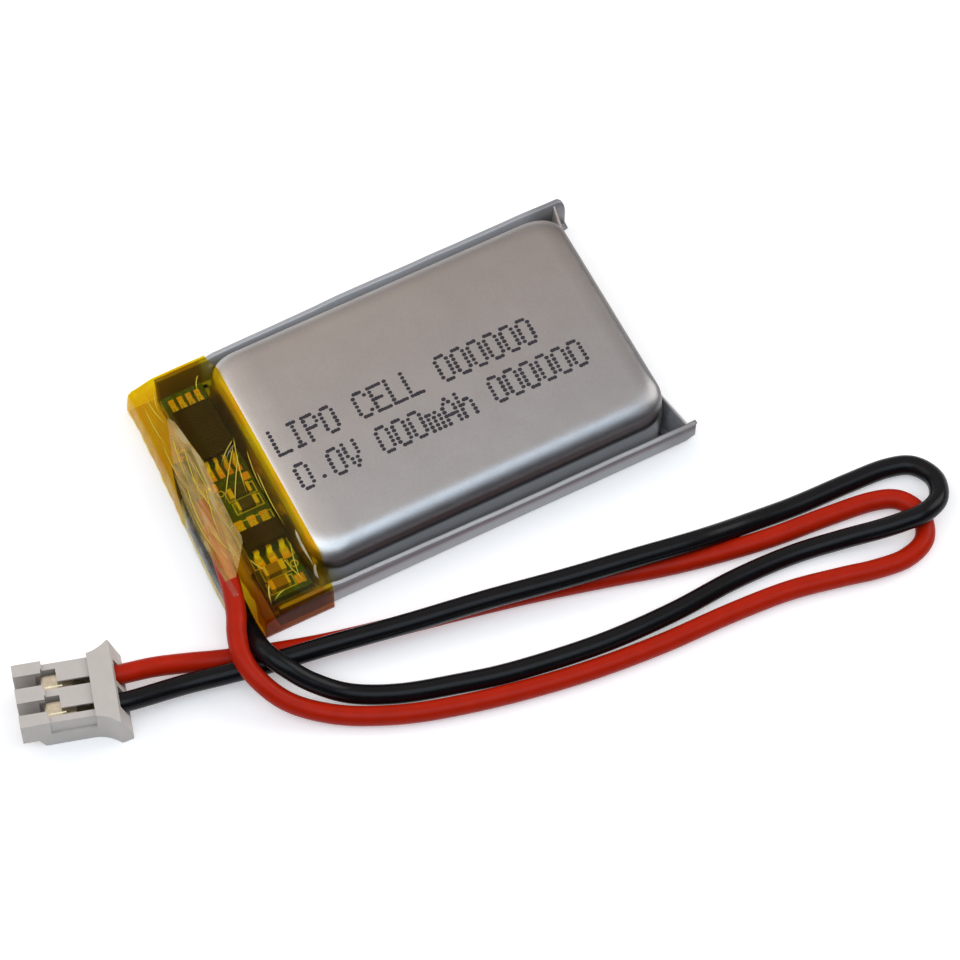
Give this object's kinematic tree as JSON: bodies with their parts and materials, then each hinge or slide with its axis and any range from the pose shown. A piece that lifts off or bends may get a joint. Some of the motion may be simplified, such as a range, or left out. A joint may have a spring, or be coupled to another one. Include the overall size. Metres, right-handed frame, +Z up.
{
  "type": "lithium polymer battery pack",
  "caption": "Small lithium polymer pouch cell with a taped-in protection board and two insulated leads that end in a white plug housing.",
  "frame": {"origin": "on the resting surface, under the middle of the cell and its tape, leads and plug left out", "axes": "+X from the taped board end to the folded end of the pouch, +Y across the cell away from the side the leads leave on, +Z up out of the formed face"},
  "size_m": [0.0652, 0.0361, 0.0051],
  "materials": {
    "laminate_film": "satin, finely grained",
    "anode_foil": "matt coated foil",
    "cathode_foil": "matt coated foil",
    "separator_film": "matt film",
    "end_tape": "matt film",
    "aluminium_tab": "bright",
    "nickel": "satin",
    "seal_film": "waxy",
    "insulation_paper": "matt",
    "board_laminate": "solder mask, satin",
    "gold_plating": "bright",
    "chip_epoxy": "matt",
    "tinned_metal": "satin",
    "resistor_ceramic": "satin",
    "capacitor_ceramic": "satin",
    "solder": "bright",
    "milky_film": "glossy, translucent",
    "amber_tape": "glossy, translucent",
    "red_insulation": "satin silicone",
    "black_insulation": "satin silicone",
    "white_nylon": "satin moulded",
    "terminal_metal": "bright"
  },
  "bodies": {
    "root": {"pouch_formed_cup": "laminate_film", "pouch_back_sheet": "laminate_film", "anode_foil_winding": "anode_foil", "cathode_foil_winding": "cathode_foil", "separator_winding": "separator_film", "winding_end_tape": "end_tape", "positive_tab": "aluminium_tab", "negative_tab": "nickel", "tab_seal_films": "seal_film", "terrace_insulation_strip": "insulation_paper", "tab_weld_plates": "nickel", "circuit_board": "board_laminate", "board_gold_pads": "gold_plating", "mosfet_body": "chip_epoxy", "mosfet_leads": "tinned_metal", "protection_chip_body": "chip_epoxy", "protection_chip_leads": "tinned_metal", "chip_resistors": "resistor_ceramic", "chip_capacitors": "capacitor_ceramic", "red_conductor_end": "tinned_metal", "black_conductor_end": "tinned_metal", "lead_solder_joints": "solder", "lead_fixing_strip": "milky_film", "polyimide_tape_wrap": "amber_tape", "red_lead": "red_insulation", "black_lead": "black_insulation", "plug_housing": "white_nylon", "red_crimp_terminal": "terminal_metal", "black_crimp_terminal": "terminal_metal"}
  },
  "joints": []
}
